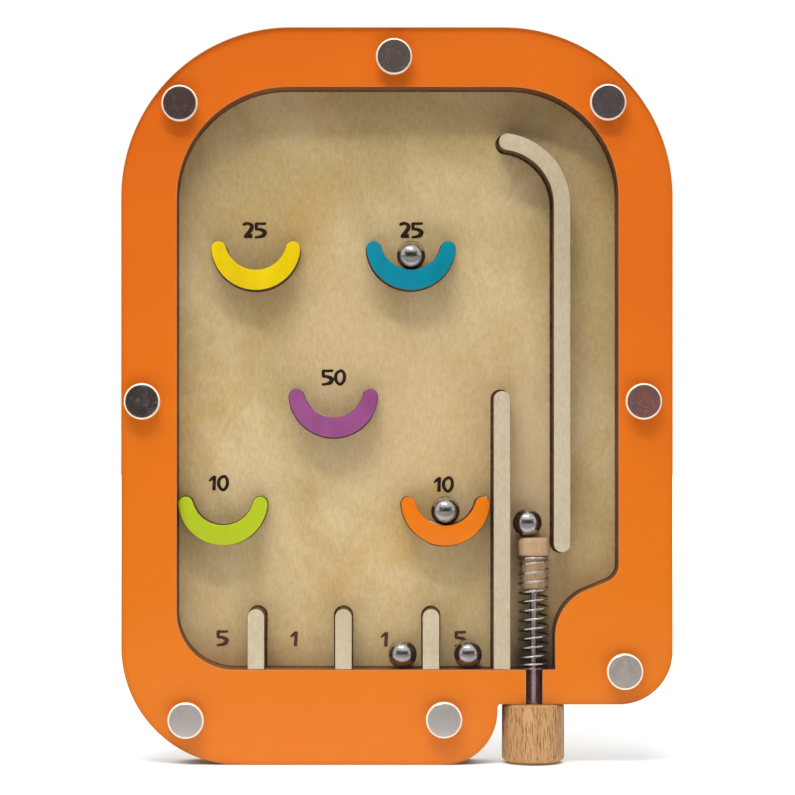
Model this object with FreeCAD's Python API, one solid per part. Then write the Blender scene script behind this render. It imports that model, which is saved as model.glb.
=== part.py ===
import FreeCAD, Part
import math
import os

# Upright bagatelle game of laser-cut plywood.  A painted rim is clamped between a back board and a
# clear cover by eight binding posts.  Cups, dividers and lane walls stand in slots of the back
# board, and a spring plunger shoots steel balls up the lane at the right.
# Millimetres.  X runs to the player's right, Y away from the player, Z up.  The origin is at the
# bottom of the foot, halfway across the width, in the middle of the rim's thickness.

# ---- overall outline -------------------------------------------------------------------------
frame_width = 190.0
frame_height = 254.0
top_corner_radius = 58.5
foot_corner_radius = 40.7
step_height = 20.8              # underside of the launch side, above the foot
step_inner_radius = 1.0
step_straight = 1.3             # what is left straight between the step's two rounds

# ---- layers, from front to back --------------------------------------------------------------
cover_thickness = 3.0
rim_thickness = 12.0
board_thickness = 4.0
cover_edge_round = 0.35

# ---- window in the rim -----------------------------------------------------------------------
rim_left = 19.2
rim_right = 18.7
rim_top = 20.5
launch_rail_height = 12.0       # rail under the window on the launch side
window_top_left_radius = 38.3
window_top_right_radius = 37.6
window_bottom_radius = 19.8
pocket_width = 21.8             # from the launch channel's right wall to the window's right side
shelf_height = 23.1             # where the shelf's slope meets the channel's wall, above the floor
shelf_slope = 22.1              # degrees
shelf_nose_radius = 17.0
shelf_corner_radius = 6.1

# ---- strips standing in slots of the board ---------------------------------------------------
strip_width = 5.8
strip_edge_round = 0.25
cover_gap = 0.25                # between the strips and the cover
slot_fit = 0.05                 # between a piece and its slot, each side
channel_width = 15.4            # launch channel, from the launch wall to the channel's right wall
launch_wall_height = 96.0
divider_count = 3
last_bin_width = 18.7           # beside the launch wall; the others share what is left
divider_height = 20.9
guide_offset = 2.4              # the hooked guide's middle line, right of the channel's wall
guide_foot_height = 40.4        # the guide's lower end, above the floor
guide_bend_drop = 40.5          # the bend's centre, under the top of the window
guide_bend_radius = 21.9
guide_bend_angle = 82.0         # degrees

# ---- smile cups ------------------------------------------------------------------------------
cup_outer_radius = 15.5
cup_inner_radius = 10.7
cup_inner_rise = 2.3            # the inner circle's centre above the outer circle's
cup_tip_radius = 2.6
cup_rise = 8.8                  # how far a cup stands out of the board
cup_edge_round = 0.4
green_cup_gap = 0.25            # between the green cup's tip and the window's side
orange_cup_gap = 1.0            # between the orange cup's tip and the launch wall
low_cup_height = 58.1           # the outer circle's centre, above the floor
middle_cup_height = 95.4
high_cup_height = 146.4
high_cup_spread = 26.8          # the two high cups, each side of the field's middle
field_shift = -0.3              # the field's middle, from halfway between the low cups

# ---- balls -----------------------------------------------------------------------------------
ball_diameter = 10.0
ball_gap = 0.05                 # between a ball at rest and what it lies on
launch_ball_gap = 1.0           # between the ball on the plunger and the launch wall
third_bin_ball_gap = 2.0        # between the ball and the divider at its right
last_bin_ball_offset = 0.6      # right of the bin's middle

# ---- binding posts ---------------------------------------------------------------------------
post_head_diameter = 12.5
post_head_thickness = 1.2
post_head_bevel = 0.45
post_barrel_diameter = 5.0
post_hole_clearance = 0.1
post_end_gap = 0.5              # between the barrel's end and the screw's head
screw_head_thickness = 0.8
screw_shank_diameter = 4.0
screw_shank_length = 12.0
screw_thread_clearance = 0.05
screw_slot_width = 1.2
screw_slot_depth = 0.4
top_left_post = (8.6, 139.9)    # edge distance, and direction from the corner's centre in degrees
top_right_post = (10.0, 42.0)
foot_left_post = (9.6, 234.0)
launch_corner_post = (11.3, -75.0)
top_post_inset = 10.3
top_post_offset = -1.0          # from the middle of the width
left_post_inset = 7.4
right_post_inset = 10.2
foot_post_inset = 15.7
side_post_height = 125.2

# ---- plunger ---------------------------------------------------------------------------------
plunger_offset = 0.5            # right of the channel's middle
rod_diameter = 2.6
rod_clearance = 0.05
rod_glue_gap = 0.03
bush_diameter = 5.1
bush_groove_clearance = 0.3
bush_flange_diameter = 9.6
bush_flange_thickness = 0.4
bush_setback = 0.2              # the bush's lower end, above the rail's underside
spring_diameter = 10.7
spring_wire = 0.75
spring_length = 38.7
spring_seat_gap = 0.05
spring_open_turns = 11
spring_end_pitch = 1.3
tip_side_gap = 0.35             # between the tip's head and the board, and the cover
tip_head_height = 6.2
tip_head_round = 1.6
tip_head_foot_round = 0.5
tip_neck_gap = 0.3              # between the tip's neck and the spring around it
tip_neck_length = 11.4
tip_neck_bevel = 0.4
rod_depth_in_head = 3.0
knob_diameter = 21.6
knob_height = 19.9
knob_gap = 0.1                  # between the knob at rest and the rail's underside
knob_side_gap = 1.8             # between the knob and the step beside it
knob_top_round = 0.5
knob_bottom_round = 1.5
rod_depth_in_knob = 12.0

# ---- places worked out from the sizes --------------------------------------------------------
frame_left = -frame_width / 2
frame_right = frame_width / 2

rim_front = -rim_thickness / 2
rim_back = rim_thickness / 2
cover_front = rim_front - cover_thickness
board_back = rim_back + board_thickness

window_left = frame_left + rim_left
window_right = frame_right - rim_right
window_floor = step_height + launch_rail_height
window_top = frame_height - rim_top
channel_right = window_right - pocket_width
launch_wall_right = channel_right - channel_width
launch_wall_left = launch_wall_right - strip_width
strip_front = rim_front + cover_gap

cup_front = rim_back - cup_rise
low_green_x = window_left + green_cup_gap + cup_outer_radius
low_orange_x = launch_wall_left - orange_cup_gap - cup_outer_radius
field_middle = (low_green_x + low_orange_x) / 2 + field_shift

bin_width = (launch_wall_left - last_bin_width - window_left) / divider_count - strip_width
plunger_x = (launch_wall_right + channel_right) / 2 + plunger_offset
step_x = plunger_x - knob_diameter / 2 - knob_side_gap
step_corner_radius = step_height - step_inner_radius - step_straight
flange_top = window_floor + bush_flange_thickness
spring_bottom = flange_top + spring_seat_gap
tip_head_diameter = rim_thickness - 2 * tip_side_gap
tip_neck_diameter = spring_diameter - 2 * spring_wire - 2 * tip_neck_gap
tip_head_bottom = spring_bottom + spring_length + spring_seat_gap
tip_top = tip_head_bottom + tip_head_height
tip_bottom = tip_head_bottom - tip_neck_length
knob_top = step_height - knob_gap
knob_bottom = knob_top - knob_height

BACK = FreeCAD.Vector(0, 1, 0)
UP = FreeCAD.Vector(0, 0, 1)
SAME_PLACE = 1e-4                # edges closer than this to a plane lie in it


def point(x, z, y=0.0):
    """A place in the game's own plane, x across and z up."""
    return FreeCAD.Vector(x, y, z)


def polar(centre, radius, degrees):
    """The place at a radius and direction from a centre, in the game's own plane."""
    angle = math.radians(degrees)
    return centre + point(radius * math.cos(angle), radius * math.sin(angle))


def arc(centre, radius, start, end):
    """A circular edge from one direction to another, in degrees."""
    middle = polar(centre, radius, (start + end) / 2)
    return Part.Arc(polar(centre, radius, start), middle, polar(centre, radius, end)).toShape()


def rounded_outline(corners):
    """A closed outline through corners of (x, z, radius), each rounded by an arc of its radius."""
    edges = []
    joints = []
    for index, (x, z, radius) in enumerate(corners):
        corner = point(x, z)
        before = corners[index - 1]
        after = corners[(index + 1) % len(corners)]
        back_way = (point(before[0], before[1]) - corner).normalize()
        forth_way = (point(after[0], after[1]) - corner).normalize()
        half_angle = back_way.getAngle(forth_way) / 2
        reach = radius / math.tan(half_angle)
        start = corner + back_way * reach
        end = corner + forth_way * reach
        if radius > 0:
            bisector = (back_way + forth_way).normalize()
            crown = corner + bisector * (radius / math.sin(half_angle) - radius)
            edges.append(Part.Arc(start, crown, end).toShape())
        joints.append((start, end))
    for index, (start, end) in enumerate(joints):
        edges.append(Part.LineSegment(end, joints[(index + 1) % len(joints)][0]).toShape())
    return Part.Wire(Part.__sortEdges__(edges))


def plate(outline, front, back):
    """A flat piece with the given outline, between two depths."""
    face = Part.Face(outline)
    face.translate(BACK * front)
    return face.extrude(BACK * (back - front))


def depth_cylinder(x, z, diameter, front, back):
    """A round bar along the depth."""
    return Part.makeCylinder(diameter / 2, back - front, point(x, z, front), BACK)


def upright_cylinder(diameter, bottom, top):
    """A round bar on the plunger's axis."""
    return Part.makeCylinder(diameter / 2, top - bottom, point(plunger_x, bottom), UP)


def edges_at_depth(shape, depth):
    """The edges that lie wholly at one depth."""
    boxes = [(edge, edge.BoundBox) for edge in shape.Edges]
    return [edge for edge, box in boxes
            if abs(box.YMin - depth) < SAME_PLACE and abs(box.YMax - depth) < SAME_PLACE]


def edges_at_height(shape, height):
    """The edges that lie wholly at one height."""
    boxes = [(edge, edge.BoundBox) for edge in shape.Edges]
    return [edge for edge, box in boxes
            if abs(box.ZMin - height) < SAME_PLACE and abs(box.ZMax - height) < SAME_PLACE]


def outer_outline():
    """The outline that the cover, the rim and the board share."""
    return rounded_outline([
        (frame_left, 0, foot_corner_radius),
        (step_x, 0, step_corner_radius),
        (step_x, step_height, step_inner_radius),
        (frame_right, step_height, step_corner_radius),
        (frame_right, frame_height, top_corner_radius),
        (frame_left, frame_height, top_corner_radius),
    ])


def window_outline():
    """The rim's window, with the shelf that leads balls back into the launch channel."""
    shelf_rise = pocket_width * math.tan(math.radians(shelf_slope))
    shelf_foot = window_floor + shelf_height
    return rounded_outline([
        (window_left, window_floor, window_bottom_radius),
        (channel_right, window_floor, 0),
        (channel_right, shelf_foot, shelf_nose_radius),
        (window_right, shelf_foot + shelf_rise, shelf_corner_radius),
        (window_right, window_top, window_top_right_radius),
        (window_left, window_top, window_top_left_radius),
    ])


def post_places():
    """The eight binding posts: three along the top, two at the sides and three along the bottom."""
    low_left = point(frame_left + foot_corner_radius, foot_corner_radius)
    low_right = point(frame_right - step_corner_radius, step_height + step_corner_radius)
    high_left = point(frame_left + top_corner_radius, frame_height - top_corner_radius)
    high_right = point(frame_right - top_corner_radius, frame_height - top_corner_radius)
    return [
        polar(high_left, top_corner_radius - top_left_post[0], top_left_post[1]),
        point(top_post_offset, frame_height - top_post_inset),
        polar(high_right, top_corner_radius - top_right_post[0], top_right_post[1]),
        point(frame_left + left_post_inset, side_post_height),
        point(frame_right - right_post_inset, side_post_height),
        polar(low_left, foot_corner_radius - foot_left_post[0], foot_left_post[1]),
        point(step_x - step_corner_radius, foot_post_inset),
        polar(low_right, step_corner_radius - launch_corner_post[0], launch_corner_post[1]),
    ]


def drill_for_posts(shape, front, back):
    """Cut the eight post holes through a layer."""
    diameter = post_barrel_diameter + 2 * post_hole_clearance
    holes = [depth_cylinder(place.x, place.z, diameter, front, back) for place in post_places()]
    return shape.cut(Part.makeCompound(holes))


def divider_centres():
    """The middle line of each divider, with a bin of the shared width left of it."""
    first = window_left + bin_width + strip_width / 2
    return [first + number * (bin_width + strip_width) for number in range(divider_count)]


def cup_places():
    """Each cup's outer circle centre, by colour."""
    return {
        "yellow": point(field_middle - high_cup_spread, window_floor + high_cup_height),
        "teal": point(field_middle + high_cup_spread, window_floor + high_cup_height),
        "purple": point(field_middle, window_floor + middle_cup_height),
        "green": point(low_green_x, window_floor + low_cup_height),
        "orange": point(low_orange_x, window_floor + low_cup_height),
    }


def cup_outline(centre, grown=0.0):
    """A smile: an outer and an inner arc, joined by tip arcs tangent to both.

    The tip arc's centre lies where two circles meet: one about the outer centre, smaller than the
    outer circle by the tip radius, and one about the inner centre, larger than the inner circle by
    the tip radius.  Growing the outline moves every arc outwards by the same amount.
    """
    outer = cup_outer_radius + grown
    inner = cup_inner_radius - grown
    tip = cup_tip_radius + grown
    inner_centre = centre + point(0, cup_inner_rise)
    from_outer = outer - tip
    from_inner = inner + tip
    tip_z = (from_outer ** 2 - from_inner ** 2 + cup_inner_rise ** 2) / (2 * cup_inner_rise)
    tip_x = math.sqrt(from_outer ** 2 - tip_z ** 2)
    outer_angle = math.degrees(math.atan2(tip_z, tip_x))
    inner_angle = math.degrees(math.atan2(tip_z - cup_inner_rise, tip_x))
    edges = [
        arc(centre, outer, outer_angle, -180 - outer_angle),
        arc(centre + point(-tip_x, tip_z), tip, -180 - outer_angle, -360 - inner_angle),
        arc(inner_centre, inner, -180 - inner_angle, inner_angle),
        arc(centre + point(tip_x, tip_z), tip, 180 + inner_angle, outer_angle),
    ]
    return Part.Wire(Part.__sortEdges__(edges))


def round_topped_outline(middle, bottom, top, grown=0.0):
    """A straight strip with a square foot and a round top."""
    half = strip_width / 2 + grown
    crown_z = top - strip_width / 2
    foot = bottom - grown
    crown = point(middle, crown_z)
    edges = [
        Part.LineSegment(point(middle - half, foot), point(middle + half, foot)).toShape(),
        Part.LineSegment(point(middle + half, foot), point(middle + half, crown_z)).toShape(),
        arc(crown, half, 0, 180),
        Part.LineSegment(point(middle - half, crown_z), point(middle - half, foot)).toShape(),
    ]
    return Part.Wire(Part.__sortEdges__(edges))


def guide_outline(grown=0.0):
    """The hooked guide: a round-ended strip that goes straight up and then bends to the left."""
    half = strip_width / 2 + grown
    middle_x = channel_right + guide_offset
    foot_z = window_floor + guide_foot_height + strip_width / 2
    bend_z = window_top - guide_bend_drop
    bend_centre = point(middle_x - guide_bend_radius, bend_z)
    tip_centre = polar(bend_centre, guide_bend_radius, guide_bend_angle)
    right = middle_x + half
    left = middle_x - half
    edges = [
        arc(point(middle_x, foot_z), half, -180, 0),
        Part.LineSegment(point(right, foot_z), point(right, bend_z)).toShape(),
        arc(bend_centre, guide_bend_radius + half, 0, guide_bend_angle),
        arc(tip_centre, half, guide_bend_angle, guide_bend_angle + 180),
        arc(bend_centre, guide_bend_radius - half, guide_bend_angle, 0),
        Part.LineSegment(point(left, bend_z), point(left, foot_z)).toShape(),
    ]
    return Part.Wire(Part.__sortEdges__(edges))


def standing_piece(outline, front, edge_round):
    """A piece that passes through the board and stands out of it, its front edge rounded over."""
    piece = plate(outline, front, board_back)
    return piece.makeFillet(edge_round, edges_at_depth(piece, front))


def strip_outlines(grown=0.0):
    """The outlines of the launch wall, the guide and the dividers, by node name."""
    wall_middle = launch_wall_left + strip_width / 2
    wall_top = window_floor + launch_wall_height
    outlines = {
        "launch_wall": round_topped_outline(wall_middle, window_floor, wall_top, grown),
        "hook_guide": guide_outline(grown),
    }
    divider_top = window_floor + divider_height
    for number, middle in enumerate(divider_centres(), start=1):
        outline = round_topped_outline(middle, window_floor, divider_top, grown)
        outlines["lane_divider_%d" % number] = outline
    return outlines


def back_board():
    """The play board: the outer outline with a slot for every standing piece and the post holes."""
    board = plate(outer_outline(), rim_back, board_back)
    slots = [plate(outline, rim_back, board_back) for outline in strip_outlines(slot_fit).values()]
    for centre in cup_places().values():
        slots.append(plate(cup_outline(centre, slot_fit), rim_back, board_back))
    return drill_for_posts(board.cut(Part.makeCompound(slots)), rim_back, board_back)


def rim_frame():
    """The painted rim, with the round-bottomed groove that the plunger's bush lies in."""
    rim = plate(outer_outline(), rim_front, rim_back)
    rim = rim.cut(plate(window_outline(), rim_front, rim_back))
    groove_width = bush_diameter + 2 * bush_groove_clearance
    groove = upright_cylinder(groove_width, step_height, window_floor)
    corner = point(plunger_x - groove_width / 2, step_height, rim_front)
    groove = groove.fuse(Part.makeBox(groove_width, -rim_front, launch_rail_height, corner))
    return drill_for_posts(rim.cut(groove), rim_front, rim_back).removeSplitter()


def clear_cover():
    """The clear sheet over the rim, its front edge polished round."""
    cover = plate(outer_outline(), cover_front, rim_front)
    cover = cover.makeFillet(cover_edge_round, edges_at_depth(cover, cover_front))
    return drill_for_posts(cover, cover_front, rim_front)


def post_caps():
    """Eight flat heads on the cover, each with a threaded barrel that reaches through the layers."""
    bore = screw_shank_diameter + 2 * screw_thread_clearance
    barrel_end = board_back - post_end_gap
    bore_start = barrel_end - screw_shank_length
    caps = []
    for place in post_places():
        head_front = cover_front - post_head_thickness
        head = depth_cylinder(place.x, place.z, post_head_diameter, head_front, cover_front)
        head = head.makeChamfer(post_head_bevel, edges_at_depth(head, head_front))
        barrel = depth_cylinder(place.x, place.z, post_barrel_diameter, cover_front, barrel_end)
        cap = head.fuse(barrel).removeSplitter()
        caps.append(cap.cut(depth_cylinder(place.x, place.z, bore, bore_start, barrel_end)))
    return Part.makeCompound(caps)


def post_screws():
    """Eight slotted screws that close the posts at the back of the board."""
    screws = []
    for place in post_places():
        head_back = board_back + screw_head_thickness
        head = depth_cylinder(place.x, place.z, post_head_diameter, board_back, head_back)
        shank_start = board_back - screw_shank_length
        shank = depth_cylinder(place.x, place.z, screw_shank_diameter, shank_start, board_back)
        corner = point(place.x - post_head_diameter / 2, place.z - screw_slot_width / 2,
                       head_back - screw_slot_depth)
        slot = Part.makeBox(post_head_diameter, screw_slot_depth, screw_slot_width, corner)
        screws.append(head.fuse(shank).removeSplitter().cut(slot))
    return Part.makeCompound(screws)


def guide_bush():
    """The steel bush in the rail: a tube for the rod, and a thin flange that the spring sits on."""
    flange = upright_cylinder(bush_flange_diameter, window_floor, flange_top)
    tube = upright_cylinder(bush_diameter, step_height + bush_setback, window_floor)
    bore = upright_cylinder(rod_diameter + 2 * rod_clearance, step_height, flange_top)
    return flange.fuse(tube).cut(bore).removeSplitter()


def plunger_rod():
    """The steel rod that joins the knob to the tip."""
    return upright_cylinder(rod_diameter, knob_top - rod_depth_in_knob,
                            tip_head_bottom + rod_depth_in_head)


def plunger_tip():
    """The turned wooden tip: a head that strikes the ball, and a neck inside the spring."""
    head = upright_cylinder(tip_head_diameter, tip_head_bottom, tip_top)
    head = head.makeFillet(tip_head_round, edges_at_height(head, tip_top))
    head = head.makeFillet(tip_head_foot_round, edges_at_height(head, tip_head_bottom))
    neck = upright_cylinder(tip_neck_diameter, tip_bottom, tip_head_bottom)
    neck = neck.makeChamfer(tip_neck_bevel, edges_at_height(neck, tip_bottom))
    hole = upright_cylinder(rod_diameter + 2 * rod_glue_gap, tip_bottom,
                            tip_head_bottom + rod_depth_in_head)
    return head.fuse(neck).cut(hole).removeSplitter()


def plunger_knob():
    """The turned wooden knob under the rail."""
    knob = upright_cylinder(knob_diameter, knob_bottom, knob_top)
    knob = knob.makeFillet(knob_top_round, edges_at_height(knob, knob_top))
    knob = knob.makeFillet(knob_bottom_round, edges_at_height(knob, knob_bottom))
    hole = upright_cylinder(rod_diameter + 2 * rod_glue_gap, knob_top - rod_depth_in_knob, knob_top)
    return knob.cut(hole)


def spring_turns(start_z, pitch, turns):
    """The middle line of some turns of the spring, up from a height."""
    helix = Part.makeHelix(pitch, pitch * turns, (spring_diameter - spring_wire) / 2)
    helix.translate(point(0, start_z))
    return helix.Edges


def plunger_spring():
    """The compression spring: a round wire carried along open turns between two closed ones."""
    coil_radius = (spring_diameter - spring_wire) / 2
    first = spring_bottom + spring_wire / 2
    last = spring_bottom + spring_length - spring_wire / 2
    open_pitch = (last - first - 2 * spring_end_pitch) / spring_open_turns
    path = spring_turns(first, spring_end_pitch, 1)
    path += spring_turns(first + spring_end_pitch, open_pitch, spring_open_turns)
    path += spring_turns(last - spring_end_pitch, spring_end_pitch, 1)
    along = FreeCAD.Vector(0, 2 * math.pi * coil_radius, spring_end_pitch)
    section = Part.Wire(Part.makeCircle(spring_wire / 2, point(coil_radius, first), along))
    spring = Part.Wire(path).makePipeShell([section], True, True)
    spring.translate(point(plunger_x, 0))
    return spring


def ball_places():
    """The five balls at rest: in two cups, on the plunger's tip and in two bins."""
    radius = ball_diameter / 2
    cups = cup_places()
    in_cup = cup_inner_rise - cup_inner_radius + radius + ball_gap
    bin_floor = window_floor + radius + ball_gap
    dividers = divider_centres()
    third_bin_right = dividers[-1] - strip_width / 2
    last_bin_middle = (dividers[-1] + strip_width / 2 + launch_wall_left) / 2
    return [
        cups["teal"] + point(0, in_cup),
        cups["orange"] + point(0, in_cup),
        point(launch_wall_right + radius + launch_ball_gap, tip_top + radius + ball_gap),
        point(third_bin_right - third_bin_ball_gap - radius, bin_floor),
        point(last_bin_middle + last_bin_ball_offset, bin_floor),
    ]


def save(name, shape):
    """Write one piece to its file."""
    assert shape.isValid(), name
    shape.exportStep("parts/" + name + ".step")
    print(name, len(shape.Solids), "solid, volume %.1f" % shape.Volume)


os.makedirs("parts", exist_ok=True)
save("back_board", back_board())
save("rim_frame", rim_frame())
save("clear_cover", clear_cover())
save("post_caps", post_caps())
save("post_screws", post_screws())
for colour, centre in cup_places().items():
    save("cup_" + colour, standing_piece(cup_outline(centre), cup_front, cup_edge_round))
for name, outline in strip_outlines().items():
    save(name, standing_piece(outline, strip_front, strip_edge_round))
save("guide_bush", guide_bush())
save("plunger_spring", plunger_spring())
save("plunger_rod", plunger_rod())
save("plunger_tip", plunger_tip())
save("plunger_knob", plunger_knob())
for number, place in enumerate(ball_places(), start=1):
    save("ball_%d" % number, Part.makeSphere(ball_diameter / 2, place))
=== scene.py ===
import bpy
import numpy as np
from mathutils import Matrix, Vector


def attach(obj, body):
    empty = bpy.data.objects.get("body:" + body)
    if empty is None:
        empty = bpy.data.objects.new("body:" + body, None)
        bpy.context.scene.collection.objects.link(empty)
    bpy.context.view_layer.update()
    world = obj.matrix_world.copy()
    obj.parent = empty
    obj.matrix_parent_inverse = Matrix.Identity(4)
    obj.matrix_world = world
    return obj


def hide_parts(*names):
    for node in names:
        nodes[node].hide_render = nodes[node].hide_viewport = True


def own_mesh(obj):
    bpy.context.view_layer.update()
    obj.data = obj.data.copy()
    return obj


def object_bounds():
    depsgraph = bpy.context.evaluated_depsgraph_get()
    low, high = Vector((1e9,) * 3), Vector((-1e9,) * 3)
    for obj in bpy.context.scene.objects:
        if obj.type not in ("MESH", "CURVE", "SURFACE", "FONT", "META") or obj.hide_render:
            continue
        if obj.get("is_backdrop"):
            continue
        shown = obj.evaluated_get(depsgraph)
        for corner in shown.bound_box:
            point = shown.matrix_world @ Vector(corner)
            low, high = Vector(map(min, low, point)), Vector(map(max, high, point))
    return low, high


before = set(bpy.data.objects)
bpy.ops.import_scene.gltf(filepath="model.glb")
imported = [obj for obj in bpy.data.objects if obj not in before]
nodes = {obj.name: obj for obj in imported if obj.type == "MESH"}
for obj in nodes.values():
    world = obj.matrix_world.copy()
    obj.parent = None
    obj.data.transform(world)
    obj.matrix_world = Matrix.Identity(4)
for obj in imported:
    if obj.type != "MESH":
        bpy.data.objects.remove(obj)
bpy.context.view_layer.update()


# ---- Back board ----
# A 4 mm sheet of birch plywood that carries the whole game. A laser cuts its outline and slots,
# which leaves every edge charred. The face keeps its plain veneer under a thin matt varnish.
MM = 0.001
BOARD_FACE = 6.0 * MM
BOARD_BACK = 10.0 * MM
PLY = 1.0 * MM
FACING = (0.55, 0.80)


def tone(red, green, blue):
    """A solid colour given as it looks on a screen, 0 to 255, turned into linear light."""
    seen = np.array([red, green, blue]) / 255
    linear = np.where(seen <= 0.04045, seen / 12.92, ((seen + 0.055) / 1.055) ** 2.4)
    return (*linear.tolist(), 1.0)


def node(tree, kind, sockets=None, **settings):
    """A node of a kind, with its settings made and its sockets linked or given plain values."""
    made = tree.nodes.new(kind)
    for key, value in settings.items():
        setattr(made, key, value)
    for key, value in (sockets or {}).items():
        if isinstance(value, bpy.types.NodeSocket):
            tree.links.new(value, made.inputs[key])
        else:
            made.inputs[key].default_value = value
    return made


def maths(tree, operation, *values, clamp=False):
    """The result of one arithmetic step on sockets or numbers."""
    sockets = dict(enumerate(values))
    return node(tree, "ShaderNodeMath", sockets, operation=operation, use_clamp=clamp).outputs[0]


def times(tree, first, second):
    """Two values multiplied."""
    return maths(tree, "MULTIPLY", first, second)


def part(tree, vector, axis):
    """One part of a vector: 0 across, 1 in depth, 2 up."""
    return node(tree, "ShaderNodeSeparateXYZ", {0: vector}).outputs[axis]


def between(tree, factor, first, second, blend="MIX"):
    """A colour between two colours, by a factor from 0 to 1."""
    sockets = {0: factor, 6: first, 7: second}
    return node(tree, "ShaderNodeMix", sockets, data_type="RGBA", blend_type=blend).outputs[2]


def spread(tree, value, low, high, to_low=0.0, to_high=1.0):
    """A value's smooth step from one level to another, kept within them."""
    sockets = {0: value, 1: low, 2: high, 3: to_low, 4: to_high}
    return node(tree, "ShaderNodeMapRange", sockets, interpolation_type="SMOOTHSTEP").outputs[0]


def place_in(tree):
    """Where a point lies on the object's own mesh, in metres."""
    return node(tree, "ShaderNodeTexCoord").outputs["Object"]


def front_and_back(tree, start, end):
    """How a surface looks along the depth, from -1 at the front to 1 at the back, and a mask
    that rises to 1 on both of these faces and is 0 on the cut sides."""
    way = part(tree, node(tree, "ShaderNodeTexCoord").outputs["Normal"], 1)
    return way, spread(tree, maths(tree, "ABSOLUTE", way), start, end)


def noise(tree, place, scale, turn=0.0, shift=(0, 0, 0), detail=2.0, roughness=0.5,
          distortion=0.0):
    """Soft fractal noise between 0 and 1 at a place, which is first turned about the depth axis,
    moved, and scaled to pattern units per axis."""
    moved = node(tree, "ShaderNodeMapping", {0: place, 1: shift, 2: (0, turn, 0)}).outputs[0]
    vector = node(tree, "ShaderNodeMapping", {0: moved, 3: scale}).outputs[0]
    sockets = {"Vector": vector, "Scale": 1.0, "Detail": detail, "Roughness": roughness,
               "Distortion": distortion}
    return node(tree, "ShaderNodeTexNoise", sockets).outputs[0]


def effect(name, **inputs):
    """A shader node group that takes a position, colours and values, and gives a colour and a
    height: its tree, its input and its output."""
    tree = bpy.data.node_groups.new(name, "ShaderNodeTree")
    new_socket = tree.interface.new_socket
    new_socket("Position", in_out="INPUT", socket_type="NodeSocketVector")
    for label, value in inputs.items():
        kind = "NodeSocketColor" if isinstance(value, tuple) else "NodeSocketFloat"
        new_socket(label, in_out="INPUT", socket_type=kind).default_value = value
    new_socket("Color", in_out="OUTPUT", socket_type="NodeSocketColor")
    new_socket("Height", in_out="OUTPUT", socket_type="NodeSocketFloat")
    return tree, node(tree, "NodeGroupInput").outputs, node(tree, "NodeGroupOutput").inputs


def placed(tree, group, sockets):
    """The outputs of a node group that is set into a material with its own values."""
    return node(tree, "ShaderNodeGroup", sockets, node_tree=group).outputs


def finish_named(name, roughness, metallic=0.0, gloss=0.3):
    """A material, its node tree and its one shader, with the shader's plain values set."""
    made = bpy.data.materials.new(name)
    made.use_nodes = True
    shader = made.node_tree.nodes["Principled BSDF"]
    shader.inputs["Roughness"].default_value = roughness
    shader.inputs["Metallic"].default_value = metallic
    shader.inputs["Specular IOR Level"].default_value = gloss
    return made, made.node_tree, shader.inputs


def bumped(tree, inputs, height, distance, strength):
    """Give a shader a bump of a depth in metres."""
    sockets = {"Height": height, "Distance": distance, "Strength": strength}
    tree.links.new(node(tree, "ShaderNodeBump", sockets).outputs[0], inputs["Normal"])


def laid_over(made, share, colour):
    """Lay a colour over a finish's own, by a share from 0 to 1."""
    tree = made.node_tree
    base = tree.nodes["Principled BSDF"].inputs["Base Color"]
    tree.links.new(between(tree, share, base.links[0].from_socket, colour), base)


def dress(name, finish):
    """Give a CAD node that is shown as it was packed a finish."""
    nodes[name].data.materials.clear()
    nodes[name].data.materials.append(finish)


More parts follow.
